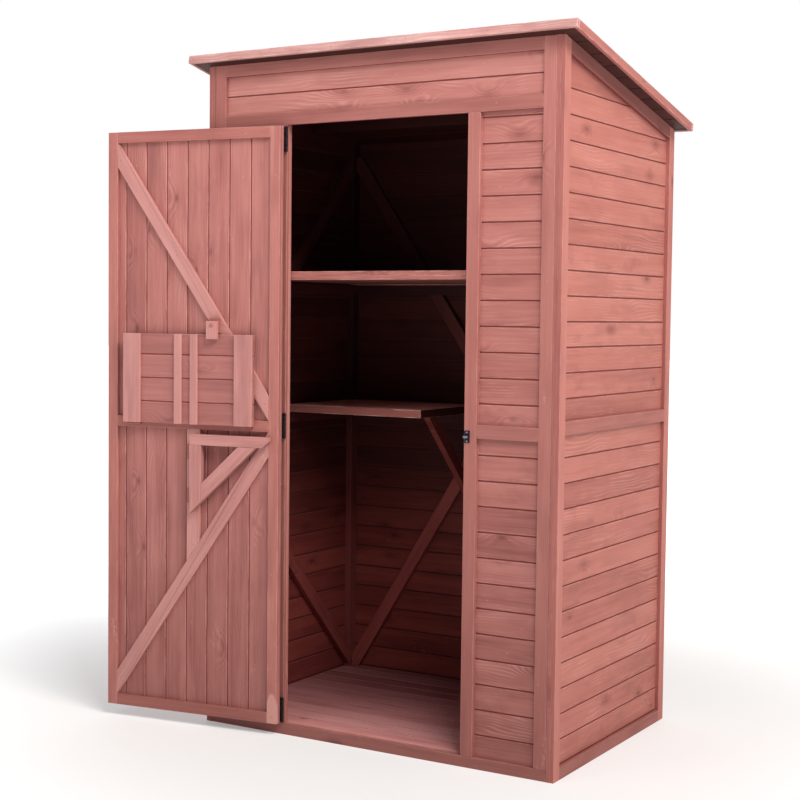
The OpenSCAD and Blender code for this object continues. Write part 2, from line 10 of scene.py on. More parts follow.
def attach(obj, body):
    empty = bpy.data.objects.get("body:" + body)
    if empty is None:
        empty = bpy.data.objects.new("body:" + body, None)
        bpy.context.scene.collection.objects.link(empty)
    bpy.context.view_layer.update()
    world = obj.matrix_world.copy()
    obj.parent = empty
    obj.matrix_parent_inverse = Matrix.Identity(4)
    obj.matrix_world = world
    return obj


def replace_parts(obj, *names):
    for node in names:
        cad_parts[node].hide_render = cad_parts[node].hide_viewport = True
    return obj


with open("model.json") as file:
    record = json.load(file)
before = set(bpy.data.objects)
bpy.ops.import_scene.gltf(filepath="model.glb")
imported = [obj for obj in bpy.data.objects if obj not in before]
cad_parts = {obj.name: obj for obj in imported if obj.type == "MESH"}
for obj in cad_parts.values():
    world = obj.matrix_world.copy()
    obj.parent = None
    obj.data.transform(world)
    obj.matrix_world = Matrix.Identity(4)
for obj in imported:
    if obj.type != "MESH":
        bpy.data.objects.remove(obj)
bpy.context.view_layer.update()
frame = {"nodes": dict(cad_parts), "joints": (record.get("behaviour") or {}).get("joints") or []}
rng = random.Random(11)

X, Y, Z = Vector((1, 0, 0)), Vector((0, 1, 0)), Vector((0, 0, 1))

# Boards: cover width, the open joint between two, and the eased edges
WALL_COVER = 0.0708
SIDE_TOP_COVER, SIDE_LOW_COVER = 0.0692, 0.07
DOOR_COVER = 0.0718
TABLE_COVER = 0.0712
FLOOR_COVER = 0.071
SHELF_COVER = 0.0708
DECK_COVER = 0.094
JOINT = 0.0034
BOARD_EDGE, STRIP_EDGE, ROOF_EDGE, BUTTON_EDGE = 0.0019, 0.0014, 0.002, 0.0008
# Tongues between boards: their share of the thickness, and how far they stay inside the field
TONGUE_SHARE = 0.64
TONGUE_INSET = 0.001
# Width of the upright end boards and of the rails under the upper shelf
STILE = 0.038
# Rise of the thin boards between those rails
SHELF_RECESS = 0.004
# Heights of the first joint under the roof, on the sides and on the back, and of the first one below the
# middle strip, and the height that parts the upper joints from the lower ones
SIDE_JOINT, BACK_JOINT, LOW_JOINT, SPLIT = 1.8652, 1.7268, 0.945, 1.0
# First joint of the door and of the table, each from its hinge edge
DOOR_JOINT, TABLE_JOINT = 0.1013, 0.066
# Drop of the first joint below the doorway's top, and rise of the one above it
FIRST_JOINT, HEADER_JOINT = 0.0146, 0.095
# Small gaps that keep the faces of neighbouring pieces apart
SEAM, HAIRLINE = 0.0008, 0.0002
# Range of the boards' own tones, from 0 for dark to 1 for light; the header boards' lighter range is painted
# light
FRONT_TONES, HEADER_LIT_TONES, END_TONES = (-0.1, 0.65), (0.8, 1.2), (0.3, 0.5)

# Heads of fixings: radius, rise and number of sides
NAIL_HEAD = (0.0016, 0.00025, 10)
SCREW_HEAD = (0.0034, 0.0005, 14)
PLATE_SCREW = (0.003, 0.0005, 14)
PIN_END = (0.0034, 0.0022, 16)
CLOUT_HEAD = (0.0045, 0.0005, 12)
# Nails in strips: how far they stray along the strip, and where they are across it, as shares of its width
NAIL_STRAY, NAIL_SPAN = 0.003, (0.42, 0.58)
# Clout nails: how far in from the felt's edge, and the distance between two
CLOUT_INSET, CLOUT_STEP = 0.02, 0.08
# Staple plate: eased edges, thickness, depth to the bright part of the staple, and the place of its screws as
# a share of its height
PLATE_EDGE, PLATE_T, PLATE_DEPTH, PLATE_SCREW_PLACE = 0.0004, 0.002, 0.0035, 0.36

# Lamps: place, the point that they face, size and power
KEY_LAMP = ((2.4, -2.3, 4.3), (0, -0.2, 1.4), 1.7, 155)
FILL_LAMP = ((-0.9, -2.7, 3.1), (-0.3, -0.4, 1.5), 1.4, 17)
# Sun: strength, the way that it shines, spread in degrees and colour
SUN, SUN_WAY, SUN_SPREAD, WARM = 1.3, (-0.93, 0.2, -0.75), 18, (1, 0.89, 0.78)
# Surround: least strength, the way to its bright side, and how squarely a ray faces that side where the light
# starts to rise and where it is full
SURROUND, BRIGHT_WAY, BRIGHT_SPAN = 0.17, (-0.52, 0.85, -0.05), (0.2, 0.85)
# Ground: half size, grey, the distances where its glow starts to rise and is full, and the glow at each
GROUND, GROUND_GREY, GLOW = 40, 0.62, (0.8, 3.0, 0.3, 1.0)

# Camera: place, turn in degrees (yaw, pitch, roll), lens and shift
CAMERA_PLACE = (2.301, -4.1148, 1.2536)
CAMERA_TURN = (-31.1955, -3.092, 0.627)
SENSOR, LENS = 36, 68.96
SHIFT = (0.0154, -0.002)

# Depth of the stain: the share of its light that each tone keeps
STAIN_DEPTH = 0.78
# Growth rings: waves per metre across the grain, and how many waves noise and knots shift them by
RING_WAVES, RING_SWAY, RING_SWELL, FULL_TURN = 105, 9, 3.4, 6.283
# Least and greatest width of the rub on an arris, partly wear and partly painted highlight
RUB_AND_HIGHLIGHT_WIDTH = (0.0008, 0.0055)
# Bare patch at the foot of the door's hanging stile: its length, and its half width as a share of that
BARE_END, BARE_SHAPE = 0.088, 0.24


def linear(r, g, b):
    """A colour given in display values of 0 to 255, as the shader wants it."""
    return tuple(((c / 255 + 0.055) / 1.055) ** 2.4 if c > 10 else c / 255 / 12.92 for c in (r, g, b)) + (1,)


# The pale arris tone stands partly for wear and partly for painted highlight
KNOT, RUB_AND_HIGHLIGHT = (112, 62, 66), (226, 166, 156)
SMEAR, SCUFF = linear(214, 170, 165), linear(214, 182, 176)


def tones(light, mid, dark, knot=KNOT, rubbed_and_highlit=RUB_AND_HIGHLIGHT):
    """The five tones of a stained wood, from display values, at the stain's depth."""
    return [[c * STAIN_DEPTH for c in linear(*tone)[:3]] + [1] for tone in (light, mid, dark, knot, rubbed_and_highlit)]


# ---------------------------------------------------------------- shader graphs


class Graph:
    """A material's node tree, with short calls for the nodes that it needs."""

    def __init__(self, name):
        self.mat = bpy.data.materials.new(name)
        self.mat.use_nodes = True
        self.tree = self.mat.node_tree
        self.shader = self.tree.nodes["Principled BSDF"]

    def node(self, kind, **props):
        n = self.tree.nodes.new(kind)
        for key, value in props.items():
            setattr(n, key, value)
        return n

    def put(self, socket, value):
        if isinstance(value, bpy.types.NodeSocket):
            self.tree.links.new(value, socket)
        elif value is not None:
            socket.default_value = value

    def math(self, op, a, b=None, clamp=False):
        n = self.node("ShaderNodeMath", operation=op, use_clamp=clamp)
        self.put(n.inputs[0], a)
        self.put(n.inputs[1], b)
        return n.outputs[0]

    def times(self, a, b, clamp=False):
        return self.math("MULTIPLY", a, b, clamp)

    def plus(self, a, b):
        return self.math("ADD", a, b)

    def scaled(self, vector, scale):
        n = self.node("ShaderNodeVectorMath", operation="MULTIPLY")
        self.put(n.inputs[0], vector)
        n.inputs[1].default_value = scale
        return n.outputs[0]

    def attribute(self, name):
        return self.node("ShaderNodeAttribute", attribute_name=name).outputs["Vector"]

    def position(self):
        return self.node("ShaderNodeTexCoord").outputs["Object"]

    def noise(self, vector, detail, rough, scale=1.0):
        n = self.node("ShaderNodeTexNoise")
        self.put(n.inputs["Vector"], vector)
        n.inputs["Scale"].default_value = scale
        n.inputs["Detail"].default_value = detail
        n.inputs["Roughness"].default_value = rough
        return n.outputs["Fac"]

    def cells(self, vector):
        """A grid of cells: the distance from each one's point, and its own random values."""
        n = self.node("ShaderNodeTexVoronoi", voronoi_dimensions="2D")
        self.put(n.inputs["Vector"], vector)
        n.inputs["Scale"].default_value = 1
        return n.outputs["Distance"], self.parts(n.outputs["Color"])

    def parts(self, vector):
        n = self.node("ShaderNodeSeparateXYZ")
        self.put(n.inputs[0], vector)
        return n.outputs

    def ease(self, value, low, high, start=0.0, end=1.0):
        """Runs smoothly from start to end as the value goes from low to high."""
        n = self.node("ShaderNodeMapRange", interpolation_type="SMOOTHSTEP")
        for socket, v in zip(n.inputs, (value, low, high, start, end)):
            self.put(socket, v)
        return n.outputs[0]

    def mix(self, share, a, b, blend="MIX"):
        n = self.node("ShaderNodeMix", data_type="RGBA", blend_type=blend)
        self.put(n.inputs[0], share)
        self.put(n.inputs[6], a)
        self.put(n.inputs[7], b)
        return n.outputs[2]

    def bump(self, height, strength, distance):
        n = self.node("ShaderNodeBump")
        n.inputs["Strength"].default_value = strength
        n.inputs["Distance"].default_value = distance
        self.put(n.inputs["Height"], height)
        self.put(self.shader.inputs["Normal"], n.outputs[0])


class WoodGraph(Graph):
    """Layers of a stained softwood, whose grain runs along each piece and bends round its knots."""

    def __init__(self, name, light, mid, dark, knot, worn_and_highlit, knots):
        super().__init__(name)
        self.light, self.mid, self.dark, self.knot, self.worn_and_highlit = light, mid, dark, knot, worn_and_highlit
        self.grain = self.attribute("grain")
        self.place = self.attribute("place")
        self.half = self.parts(self.attribute("half"))
        self.own = self.parts(self.attribute("own"))
        self.cloud = self.drawn_out((6, 13, 13), 3, 0.6)
        self.streak = self.drawn_out((3.2, 130, 130), 3, 0.6)
        self.fibre = self.drawn_out((12, 520, 520), 2, 0.6)
        self.sway = self.drawn_out((2.4, 9, 9), 2, 0.5)
        self.from_knot, self.cell = self.cells(self.scaled(self.grain, (4.2, 9.0, 0)))
        self.knotty = self.math("LESS_THAN", self.cell[0], knots)
        self.swell = self.times(self.ease(self.from_knot, 0.0, 0.42, 1, 0), self.knotty)
        self.rings = self.growth_rings()

    def drawn_out(self, scale, detail, rough):
        """Noise that is drawn out along the grain."""
        return self.noise(self.scaled(self.grain, scale), detail, rough)

    def growth_rings(self):
        """Waves across the grain, which sway and bend round knots."""
        rings = self.times(self.parts(self.grain)[1], RING_WAVES)
        rings = self.plus(rings, self.times(self.sway, RING_SWAY))
        rings = self.plus(rings, self.times(self.swell, RING_SWELL))
        return self.math("SINE", self.times(rings, FULL_TURN))

    def stain(self, tint, contrast):
        """The stain: lighter and darker with the grain and from piece to piece, and blotched."""
        tone = self.times(self.rings, self.ease(self.swell, 0, 0.8, 0.06, 0.3))
        broad = self.drawn_out((1.7, 24, 24), 3, 0.55)
        for value, weight in ((broad, 1.7), (self.cloud, 0.8), (self.streak, 1.1), (self.fibre, 0.5),
                (self.own[0], tint * 5)):
            tone = self.plus(tone, self.times(self.math("SUBTRACT", value, 0.5), weight))
        up = self.times(self.math("MAXIMUM", tone, 0), 1.3 * contrast, clamp=True)
        down = self.times(self.math("MAXIMUM", self.times(tone, -1), 0), 1.3 * contrast, clamp=True)
        colour = self.mix(down, self.mix(up, self.mid, self.light), self.dark)
        blotch = self.ease(self.drawn_out((3.1, 16, 5), 2, 0.5), 0.54, 0.76, 0, 0.4 * contrast)
        return self.mix(blotch, colour, self.mix(0.5, self.dark, self.knot))

    def figured(self, colour, amount):
        """Pale streaks that follow the rings, and soft dark laps."""
        lit = self.times(self.ease(self.rings, 0.1, 0.9, 0, amount), self.ease(self.sway, 0.48, 0.6))
        colour = self.mix(self.times(lit, self.ease(self.cloud, 0.4, 0.6)), colour, self.worn_and_highlit)
        lap = self.ease(self.drawn_out((7, 16, 16), 4, 0.6), 0.52, 0.72, 0, 0.36)
        lap = self.times(lap, self.ease(self.own[2], 0.2, 0.8))
        return self.mix(lap, colour, self.mix(0.35, self.dark, self.knot))

    def knotted(self, colour):
        """A dark heart in each knot and a soft shade round it."""
        shade = self.times(self.ease(self.from_knot, 0.03, 0.24, 0.75, 0), self.knotty)
        colour = self.mix(self.times(shade, self.own[1]), colour, self.dark)
        heart = self.times(self.ease(self.from_knot, 0.0, 0.09, 1, 0), self.knotty)
        return self.mix(self.times(heart, self.ease(self.cell[1], 0, 1, 0.2, 0.65)), colour, self.knot)

    def rubbed_and_highlit(self, colour, wear_and_highlight):
        """Lighter arrises of uneven width, partly wear and partly painted highlight, and pale specks."""
        size = self.node("ShaderNodeVectorMath", operation="ABSOLUTE")
        self.put(size.inputs[0], self.place)
        a, b, c = (self.math("SUBTRACT", h, p) for h, p in zip(self.half, self.parts(size.outputs[0])))
        arris = self.math("MINIMUM", self.math("MAXIMUM", a, b), c)
        arris = self.math("MAXIMUM", self.math("MINIMUM", a, b), arris)
        reach = self.ease(self.drawn_out((14, 60, 60), 3, 0.65), 0.4, 0.75, *RUB_AND_HIGHLIGHT_WIDTH)
        # Mask of the lighter arris: partly wear, partly painted highlight
        bare = self.times(self.ease(self.math("DIVIDE", arris, reach), 0.25, 1, 1, 0), wear_and_highlight, clamp=True)
        colour = self.mix(bare, colour, self.worn_and_highlit)
        dots, dot_cell = self.cells(self.scaled(self.grain, (11, 26, 0)))
        speck = self.times(self.ease(dots, 0.02, 0.05, 1, 0), self.math("LESS_THAN", dot_cell[0], 0.1))
        return self.mix(self.times(speck, 0.5), colour, self.worn_and_highlit)

    def smeared(self, colour, amount):
        """Pale dabs with rough edges."""
        dab = self.times(self.ease(self.drawn_out((3.4, 10, 10), 2, 0.5), 0.66, 0.74),
            self.ease(self.drawn_out((60, 150, 150), 3, 0.7), 0.52, 0.66))
        return self.mix(self.times(dab, amount), colour, SMEAR)

    def bared(self, colour, reach):
        """A rounded patch of bare wood at the start of the piece, as long as the reach."""
        spot = self.parts(self.place)
        along = self.math("DIVIDE", self.plus(spot[0], self.half[0]), reach)
        across = self.math("DIVIDE", spot[1], reach * BARE_SHAPE)
        ring = self.plus(self.math("POWER", along, 2), self.math("POWER", across, 2))
        ring = self.plus(ring, self.times(self.math("SUBTRACT", self.cloud, 0.5), 0.9))
        return self.mix(self.ease(ring, 0.8, 1.1, 0.75, 0), colour, self.worn_and_highlit)

    def scuffed(self, colour, amount):
        """Pale scuffs along the grain."""
        scuff = self.ease(self.drawn_out((5, 22, 22), 5, 0.7), 0.56, 0.72, 0, amount)
        return self.mix(scuff, colour, SCUFF)

    def painted_shade_along(self, colour, axis, low, high, start, end, tint):
        """Painted shade: the colour darkens along an axis."""
        way = self.parts(self.position())[axis]
        return self.mix(self.ease(way, low, high, start, end), colour, tint, "MULTIPLY")

    def surface(self, colour):
        self.put(self.shader.inputs["Base Color"], colour)
        self.put(self.shader.inputs["Roughness"], self.ease(self.fibre, 0.2, 0.8, 0.54, 0.74))
        self.shader.inputs["Specular IOR Level"].default_value = 0.3
        self.bump(self.plus(self.times(self.fibre, 0.5), self.times(self.streak, 0.5)), 0.35, 0.0006)


def wood(name, five_tones, wear_and_highlight=1.0, knots=0.3, tint=0.16, contrast=1.0, figure=0, smears=0, scuffs=0,
        bare_end=0, painted_shades=()):
    """Stained softwood in five tones, with as much of each layer as is asked for."""
    g = WoodGraph(name, *five_tones, knots)
    colour = g.stain(tint, contrast)
    if figure:
        colour = g.figured(colour, figure)
    colour = g.rubbed_and_highlit(g.knotted(colour), wear_and_highlight)
    if smears:
        colour = g.smeared(colour, smears)
    if bare_end:
        colour = g.bared(colour, bare_end)
    if scuffs:
        colour = g.scuffed(colour, scuffs)
    # Painted shade along each axis given
    for fade in painted_shades:
        colour = g.painted_shade_along(colour, *fade)
    g.surface(colour)
    return g.mat


def iron(name, shade, rough, metal):
    g = Graph(name)
    mottle = g.noise(g.position(), 4, 0.6, 160)
    colour = g.mix(g.ease(mottle, 0.45, 0.75, 0, 0.35), shade, linear(82, 70, 74))
    g.put(g.shader.inputs["Base Color"], colour)
    g.put(g.shader.inputs["Roughness"], g.ease(mottle, 0.3, 0.7, rough - 0.08, rough + 0.12))
    g.shader.inputs["Metallic"].default_value = metal
    g.bump(mottle, 0.25, 0.0004)
    return g.mat


def mineral_felt(name):
    g = Graph(name)
    spot = g.position()
    grit = g.noise(spot, 2, 0.8, 900)
    patch = g.noise(spot, 3, 0.5, 7)
    colour = g.mix(g.ease(patch, 0.3, 0.7), linear(70, 78, 74), linear(92, 98, 92))
    colour = g.mix(g.ease(grit, 0.52, 0.72, 0, 0.6), colour, linear(136, 140, 132))
    g.put(g.shader.inputs["Base Color"], colour)
    g.put(g.shader.inputs["Roughness"], g.ease(grit, 0.3, 0.7, 0.8, 0.98))
    g.bump(grit, 0.6, 0.001)
    return g.mat


def flat_paint(name, colour):
    g = Graph(name)
    g.shader.inputs["Base Color"].default_value = colour
    g.shader.inputs["Roughness"].default_value = 0.9
    return g.mat


# ---------------------------------------------------------------- timber


def bounds_along(verts, axes):
    """Lowest and highest reach of some vertices along each of three axes."""
    reach = [[v.co.dot(a) for v in verts] for a in axes]
    return Vector([min(r) for r in reach]), Vector([max(r) for r in reach])


def slice_off(bm, point, out):
    """Cuts off what lies beyond a plane, and returns the edges of the cut."""
    whole = bm.verts[:] + bm.edges[:] + bm.faces[:]
    cut = bmesh.ops.bisect_plane(bm, geom=whole, plane_co=point, plane_no=out, clear_outer=True)
    return [e for e in cut["geom_cut"] if isinstance(e, bmesh.types.BMEdge)]


class Timber:
    """Gathers pieces of wood into one mesh. Each piece has its own grain, size and tone."""

    def __init__(self):
        self.verts, self.faces, self.slots = [], [], []
        self.grain, self.place, self.half, self.own = [], [], [], []

    def add(self, bm, turn, axes, ease, all_round=False, slot_of=None, tone=(0, 1)):
        """Takes a piece drawn in the frame of turn, with its grain along the first of the three axes."""
        lo, hi = bounds_along(bm.verts, axes)
        edges = [e for e in bm.edges if e.is_manifold and e.calc_face_angle() > 0.2]
        if not all_round:
            edges = [e for e in edges if abs((e.verts[1].co - e.verts[0].co).normalized().dot(axes[0])) > 0.9]
        if ease:
            bmesh.ops.bevel(bm, geom=edges, offset=ease, segments=2, profile=0.5, affect="EDGES")
        bm.normal_update()
        mid, shift = (lo + hi) / 2, Vector([rng.uniform(0, 40) for _ in range(3)])
        own = (rng.uniform(*tone), rng.random(), rng.random())
        first = len(self.verts)
        flip = rng.choice((-1, 1))
        for i, v in enumerate(bm.verts):
            v.index = i
            at = Vector([v.co.dot(a) for a in axes])
            self.verts.append(turn @ v.co)
            self.place.append(at - mid)
            self.grain.append((at - mid) * flip + shift)
            self.half.append((hi - lo) / 2)
            self.own.append(own)
        for f in bm.faces:
            self.faces.append([first + v.index for v in f.verts])
            self.slots.append(slot_of(f.normal) if slot_of else 0)
        bm.free()

    def board(self, lo, hi, turn, axes, ease=BOARD_EDGE, trims=(), **more):
        """A straight piece from lo to hi, cut off beyond each plane given as a point and a direction."""
        bm = bmesh.new()
        bmesh.ops.create_cube(bm, size=1)
        for v in bm.verts:
            v.co = Vector([lo[i] if v.co[i] < 0 else hi[i] for i in range(3)])
        for point, out in trims:
            if any((v.co - point).dot(out) > 0 for v in bm.verts):
                edges = slice_off(bm, point, out)
                if not bm.verts:
                    bm.free()
                    return
                bmesh.ops.holes_fill(bm, edges=edges)
        self.add(bm, turn, axes, ease, **more)

    def build(self, name, body, mats, stands_for):
        mesh = bpy.data.meshes.new(name)
        mesh.from_pydata(self.verts, [], self.faces)
        for key in ("grain", "place", "half", "own"):
            layer = mesh.attributes.new(key, "FLOAT_VECTOR", "POINT")
            layer.data.foreach_set("vector", [c for v in getattr(self, key) for c in v])
        for mat in mats:
            mesh.materials.append(mat)
        mesh.polygons.foreach_set("material_index", self.slots)
        mesh.update()
        made = placed(name, mesh, body)
        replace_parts(made, *stands_for)


def placed(name, mesh, body):
    """A mesh as an object of the scene, on its body and in its slot."""
    made = bpy.data.objects.new(name, mesh)
    bpy.context.scene.collection.objects.link(made)
    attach(made, body)
    return made


def solids(node, turn=Matrix()):
    """The separate solids of a CAD node, each as clean faces in the frame of turn."""
    whole = bmesh.new()
    whole.from_mesh(frame["nodes"][node].data)
    bmesh.ops.transform(whole, matrix=turn.inverted(), verts=whole.verts)
    bmesh.ops.remove_doubles(whole, verts=whole.verts, dist=2e-5)
    seen, found = set(), []
    for start in whole.faces:
        if start in seen:
            continue
        seen.add(start)
        stack, group = [start], []
        while stack:
            f = stack.pop()
            group.append(f)
            for other in (o for e in f.edges for o in e.link_faces):
                if other not in seen:
                    seen.add(other)
                    stack.append(other)
        one, copies = bmesh.new(), {}
        for f in group:
            for v in f.verts:
                if v not in copies:
                    copies[v] = one.verts.new(v.co)
            one.faces.new([copies[v] for v in f.verts])
        bmesh.ops.recalc_face_normals(one, faces=one.faces)
        bmesh.ops.dissolve_limit(one, angle_limit=0.01, verts=one.verts, edges=one.edges)
        found.append(one)
    whole.free()
    return sorted(found, key=lambda b: tuple(round(min(v.co[i] for v in b.verts), 4) for i in range(3)))


def own_axes(bm):
    """A piece's axes: along its longest edge, across its broad face, and through it."""
    edge = max(bm.edges, key=lambda e: e.calc_length())
    along = (edge.verts[1].co - edge.verts[0].co).normalized()
    along *= math.copysign(1, sum(along))
    face = max(bm.faces, key=lambda f: f.calc_area() * (abs(f.normal.dot(along)) < 0.1))
    through = face.normal.copy()
    return along, through.cross(along), through


def dress(node, body, mats, turn=Matrix(), ease=STRIP_EDGE, slot_of=None):
    """Strips, rails and blocks: the CAD node's own solids, with eased edges and grain along each."""
    made = Timber()
    for bm in solids(node, turn):
        made.add(bm, turn, own_axes(bm), ease, all_round=True, slot_of=slot_of)
    made.build(node + "_wood", body, mats, (node,))


def node_box(node, turn=Matrix()):
    """Lowest and highest corner of a CAD node in the frame of turn."""
    back = turn.inverted()
    points = [back @ v.co for v in frame["nodes"][node].data.vertices]
    return (Vector([min(p[i] for p in points) for i in range(3)]),
        Vector([max(p[i] for p in points) for i in range(3)]))


def joints_up(low, cover, high):
    """Places of board joints from low up to high, a cover width apart."""
    return [low + cover * i for i in range(math.ceil((high - low) / cover))]


def joints_down(top, cover, low):
    """Heights of board joints from top down to low, a cover width apart."""
    found = []
    while top > low + cover * 0.25:
        found.append(top)
        top -= cover
    return found


def panel(made, lo, hi, across, joints, turn, axes, trims=(), tongues=None, **more):
    """Boards side by side between lo and hi, parted at the joints along the across axis."""
    stops = [lo[across]] + sorted(j for j in joints if lo[across] < j < hi[across]) + [hi[across]]
    for i, (low, high) in enumerate(zip(stops, stops[1:])):
        a, b = lo.copy(), hi.copy()
        a[across] = low + (JOINT / 2 if i else 0)
        b[across] = high - (JOINT / 2 if i + 2 < len(stops) else 0)
        made.board(a, b, turn, axes, trims=trims, **more)
    if tongues:
        thin = max(range(3), key=lambda i: abs(axes[2][i]))
        inset = Vector([TONGUE_INSET] * 3)
        inset[thin] = (hi[thin] - lo[thin]) * (1 - TONGUE_SHARE) / 2
        inner = [(point - out * TONGUE_INSET, out) for point, out in trims]
        made.board(lo + inset, hi - inset, turn, axes, ease=0, trims=inner, slot_of=tongues)


# ---------------------------------------------------------------- frames of the moving parts


def joint(name):
    return next(j for j in frame["joints"] if j["name"] == name)


def turned(point, axis, degrees):
    """The frame of pieces turned about an axis through a point."""
    point = Vector(point)
    return (Matrix.Translation(point) @ Matrix.Rotation(math.radians(degrees), 4, Vector(axis))
        @ Matrix.Translation(-point))


def door_frame():
    """Turns a door piece drawn closed to where it stands open."""
    hinge = joint("door_hinge")
    return turned(hinge["pos_m"], hinge["axis"], -hinge["range_deg"][1])


def roof_plane():
    """A point on the roof's underside and the direction up out of it."""
    deck = frame["nodes"]["roof_deck"].data
    face = max(deck.polygons, key=lambda p: p.area * (p.normal.z < -0.5))
    return deck.vertices[face.vertices[0]].co.copy(), -face.normal


SHED = Matrix()
DOOR = door_frame()
roof_point, roof_up = roof_plane()
ROOF = Matrix.Rotation(-math.atan2(roof_up.y, roof_up.z), 4, "X")
UNDER_ROOF = [(roof_point, roof_up)]

# ---------------------------------------------------------------- materials

# Painted shade that deepens along an axis: the axis, where it starts and ends, the share at each, the tint
# Inside walls: painted shade, darker towards the top
INSIDE_PAINTED_SHADE = (2, 0.36, 0.86, 0, 0.93, (0.2, 0.14, 0.14, 1))
# Inner strips and posts: painted shade, darker towards the top
INNER_TIMBER_PAINTED_SHADE = (2, 0.35, 1.15, 0, 0.95, (0.12, 0.08, 0.09, 1))
# Inner braces and strut: painted shade, darker towards the top
INNER_BRACE_PAINTED_SHADE = (2, 0.6, 1.4, 0, 0.88, (0.12, 0.08, 0.09, 1))
# Floor: painted shade, darker towards the back
FLOOR_BACK_PAINTED_SHADE = (1, -0.38, 0.16, 0, 0.76, (0.26, 0.15, 0.17, 1))
# Floor: painted shade, darker towards the left
FLOOR_LEFT_PAINTED_SHADE = (0, -0.5, 0.15, 0.34, 0, (0.3, 0.2, 0.22, 1))
# Outside walls, strips and door: painted shade, darker towards the bottom
LOW_PAINTED_SHADE = (2, 0.0, 1.4, 0.32, 0, (0.45, 0.42, 0.42, 1))
# Painted shadow of the eave, darker towards the top
EAVE_PAINTED_SHADOW = (2, 1.3, 1.7, 0, 0.6, (0.45, 0.36, 0.36, 1))

STRIP_TONES = tones((200, 132, 123), (183, 113, 104), (152, 86, 80))
STRIP_LOOK = {"wear_and_highlight": 0.25, "knots": 0.15, "tint": 0.08, "smears": 0.4, "contrast": 0.7}
STILE_TONES = tones((210, 141, 130), (190, 119, 110), (160, 94, 88))
STILE_LOOK = {"wear_and_highlight": 0.35, "knots": 0.15, "tint": 0.05, "contrast": 0.8}

# Outside of the shed, darker towards the bottom in painted shade
outer = wood("wall_stain", tones((214, 146, 136), (194, 122, 113), (156, 90, 84)),
    wear_and_highlight=0.5, contrast=0.68, figure=0.42, smears=0.2, painted_shades=(LOW_PAINTED_SHADE,))
side_outer = wood("side_wall_stain",
    tones((213, 140, 126), (193, 117, 105), (155, 87, 78), rubbed_and_highlit=(230, 166, 152)),
    wear_and_highlight=0.5, knots=0.2, contrast=0.68, figure=0.28, smears=0.2)
strip = wood("strip_stain", STRIP_TONES, painted_shades=(LOW_PAINTED_SHADE,), **STRIP_LOOK)
# Side rails: the top one darker, a painted shadow of the eave
side_rail = wood("side_rail_stain_painted_eave_shadow", STRIP_TONES, painted_shades=(LOW_PAINTED_SHADE, EAVE_PAINTED_SHADOW), **STRIP_LOOK)
# Front rails: darker than the other strips, a painted shadow of the fascia
rail_strip_in_painted_shade = wood("rail_stain", tones((191, 125, 117), (174, 107, 99), (145, 81, 76)),
    painted_shades=(LOW_PAINTED_SHADE,), **STRIP_LOOK)
side_strip = wood("side_strip_stain", tones((216, 146, 134), (199, 125, 114), (166, 95, 87)),
    wear_and_highlight=0.3, knots=0.15, tint=0.08, contrast=0.7, smears=0.4)
edge_strip = wood("strip_edge_stain", tones((192, 121, 112), (176, 105, 97), (146, 80, 75)),
    wear_and_highlight=0.2, knots=0.1, tint=0.08, contrast=0.7)
trim = wood("trim_stain", tones((210, 142, 132), (190, 119, 110), (160, 94, 87), rubbed_and_highlit=(240, 188, 178)),
    wear_and_highlight=0.5, knots=0.15, tint=0.06, contrast=0.8, smears=0.3)
fascia_wood = wood("fascia_stain",
    tones((234, 186, 180), (213, 160, 154), (180, 117, 111), rubbed_and_highlit=(252, 224, 218)),
    wear_and_highlight=0.4, knots=0.25, tint=0.05, figure=0.4, smears=0.6)
# Roof boards: very dark tones for the underside, painted shade
soffit = wood("roof_stain_in_painted_shade", tones((80, 35, 27), (68, 27, 20), (56, 21, 17), (44, 17, 14), (92, 46, 38)),
    wear_and_highlight=0.2)

# Door and table
door_in = wood("door_stain", tones((206, 137, 129), (186, 117, 110), (154, 89, 84)),
    wear_and_highlight=0.5, knots=0.26, tint=0.09, figure=0.2, smears=0.3, painted_shades=(LOW_PAINTED_SHADE,))
table_in = wood("table_stain", tones((200, 134, 126), (180, 113, 107), (150, 89, 84)),
    wear_and_highlight=0.3, knots=0.26, tint=0.07, contrast=0.8)
door_stile = wood("door_stile_stain", STILE_TONES, smears=0.35, **STILE_LOOK)
bared_stile = wood("bared_stile_stain", STILE_TONES, smears=0.6, bare_end=BARE_END, **STILE_LOOK)
brace_wood = wood("brace_stain", tones((222, 162, 155), (205, 142, 136), (176, 110, 106)),
    wear_and_highlight=0.4, knots=0.2, tint=0.08, contrast=0.75, smears=0.3)

# Inside of the shed, in painted shade: darker tones than outside, darker still towards the top
inner = wood("inner_stain_in_painted_shade", tones((163, 78, 68), (144, 63, 56), (107, 42, 39), (60, 24, 26), (152, 72, 63)),
    wear_and_highlight=0.1, painted_shades=(INSIDE_PAINTED_SHADE,))
inner_strip = wood("inner_strip_stain_in_painted_shade",
    tones((176, 90, 80), (154, 75, 67), (114, 47, 43), (74, 32, 32), (186, 104, 94)),
    wear_and_highlight=0.3, knots=0.15, painted_shades=(INNER_TIMBER_PAINTED_SHADE,))
post_strip = wood("inner_post_stain_in_painted_shade",
    tones((148, 72, 68), (130, 62, 59), (98, 42, 42), (66, 30, 32), (158, 86, 80)),
    wear_and_highlight=0.2, knots=0.15, painted_shades=(INNER_TIMBER_PAINTED_SHADE,))
brace_strip = wood("inner_brace_stain_in_painted_shade",
    tones((184, 96, 87), (164, 80, 73), (122, 52, 48), (78, 34, 34), (192, 110, 100)),
    wear_and_highlight=0.3, knots=0.15, painted_shades=(INNER_BRACE_PAINTED_SHADE,))
